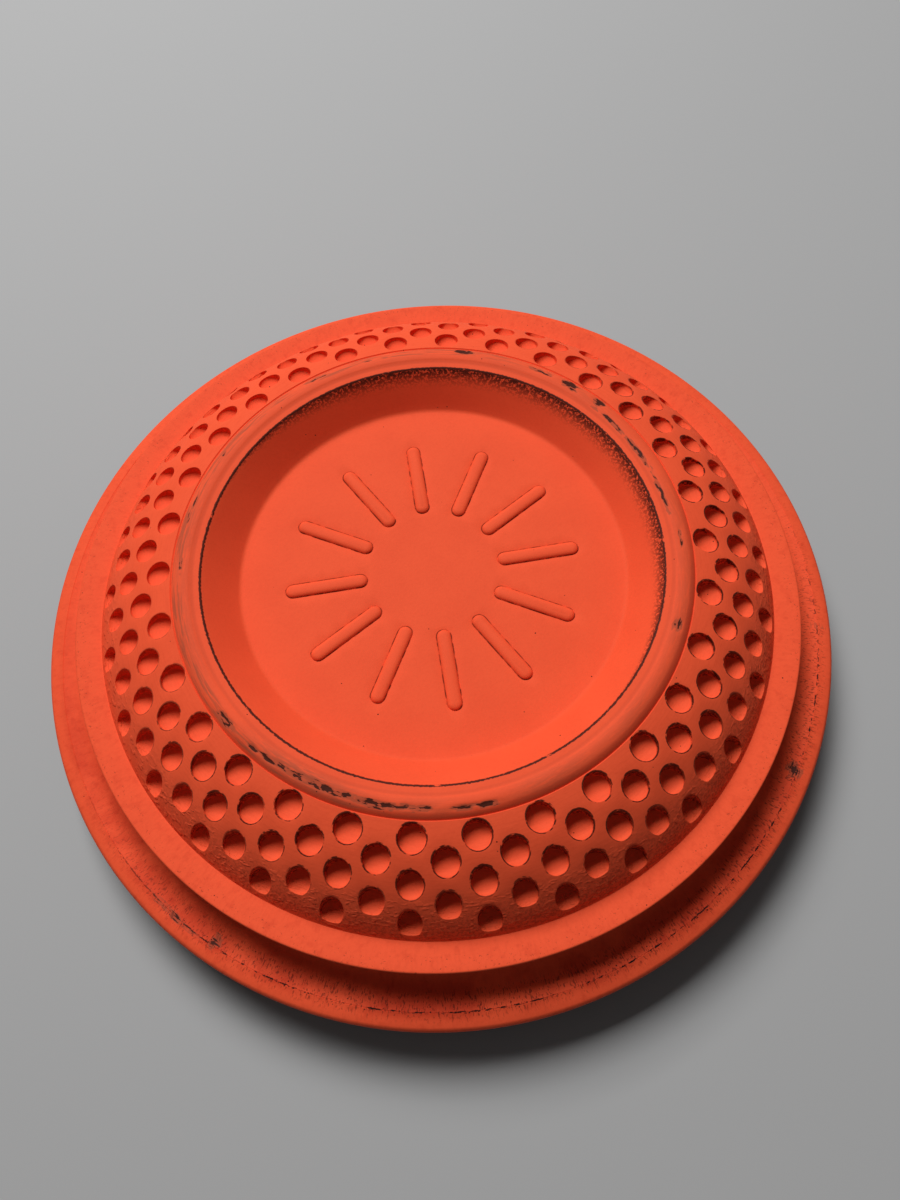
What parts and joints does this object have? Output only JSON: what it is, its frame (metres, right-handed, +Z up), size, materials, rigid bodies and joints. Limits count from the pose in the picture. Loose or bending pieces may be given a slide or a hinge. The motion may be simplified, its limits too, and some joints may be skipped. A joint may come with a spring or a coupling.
{
  "type": "clay target",
  "caption": "Round clay shooting target with a throwing rim, stepped shoulder, dimpled dome, rounded bead and sunk centre, and a hollow underside that nests on the next one.",
  "frame": {"origin": "centre of the base ring, on the surface that the target rests on", "axes": "+Z up along the target's own axis, through the sunk centre; -Y passes through a dimple of the row next to the bead"},
  "size_m": [0.1094, 0.1094, 0.024],
  "materials": {
    "painted_clay": "matt fluorescent orange spray paint over moulded dark pitch and limestone, scuffed through on the bead and rim, bare and dark below"
  },
  "bodies": {
    "root": {"clay_target": "painted_clay"}
  },
  "joints": []
}
